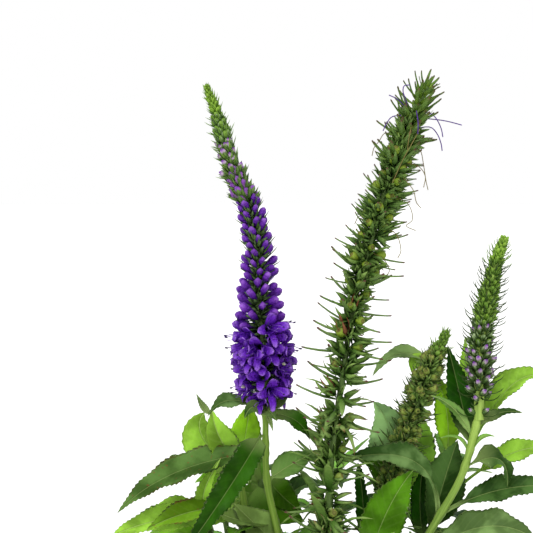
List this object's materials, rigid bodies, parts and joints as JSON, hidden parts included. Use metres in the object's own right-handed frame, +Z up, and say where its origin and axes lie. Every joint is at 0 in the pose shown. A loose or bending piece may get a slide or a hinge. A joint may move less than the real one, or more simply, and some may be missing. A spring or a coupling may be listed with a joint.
{
  "type": "spiked speedwell plant",
  "caption": "Clump of spiked speedwell rooted in the ground: leafy stems with narrow toothed leaves in opposite pairs, and slender spikes in violet bloom, in green bud and gone to seed.",
  "frame": {"origin": "middle of the flat cut under the rootstock, at ground level", "axes": "+Z up along the stems, -Y towards the front, +X to the right seen from the front"},
  "size_m": [0.1445, 0.1156, 0.2084],
  "materials": {
    "rootstock": "matt",
    "stems": "satin, finely hairy",
    "leaves": "satin, finely hairy",
    "bloom_spike": "matt petals",
    "seed_spike": "matt",
    "bud_spike": "matt"
  },
  "bodies": {
    "root": {"leaves_back": "leaves", "leaves_back_left": "leaves", "leaves_back_right": "leaves", "leaves_behind_left": "leaves", "leaves_behind_low": "leaves", "leaves_behind_right": "leaves", "leaves_behind_top": "leaves", "leaves_bloom_low": "leaves", "leaves_bloom_top": "leaves", "leaves_bud_low": "leaves", "leaves_bud_middle": "leaves", "leaves_bud_top": "leaves", "leaves_centre": "leaves", "leaves_far_left": "leaves", "leaves_front_left": "leaves", "leaves_front_right": "leaves", "leaves_left": "leaves", "leaves_seed": "leaves", "leaves_short": "leaves", "rootstock": "rootstock", "spike_bloom": "bloom_spike", "spike_bud": "bud_spike", "spike_seed": "seed_spike", "spike_short": "seed_spike", "stem_back": "stems", "stem_back_left": "stems", "stem_back_right": "stems", "stem_behind": "stems", "stem_behind_left": "stems", "stem_behind_right": "stems", "stem_bloom": "stems", "stem_bud": "stems", "stem_centre": "stems", "stem_far_left": "stems", "stem_front_left": "stems", "stem_front_right": "stems", "stem_left": "stems", "stem_seed": "stems", "stem_short": "stems"}
  },
  "joints": []
}
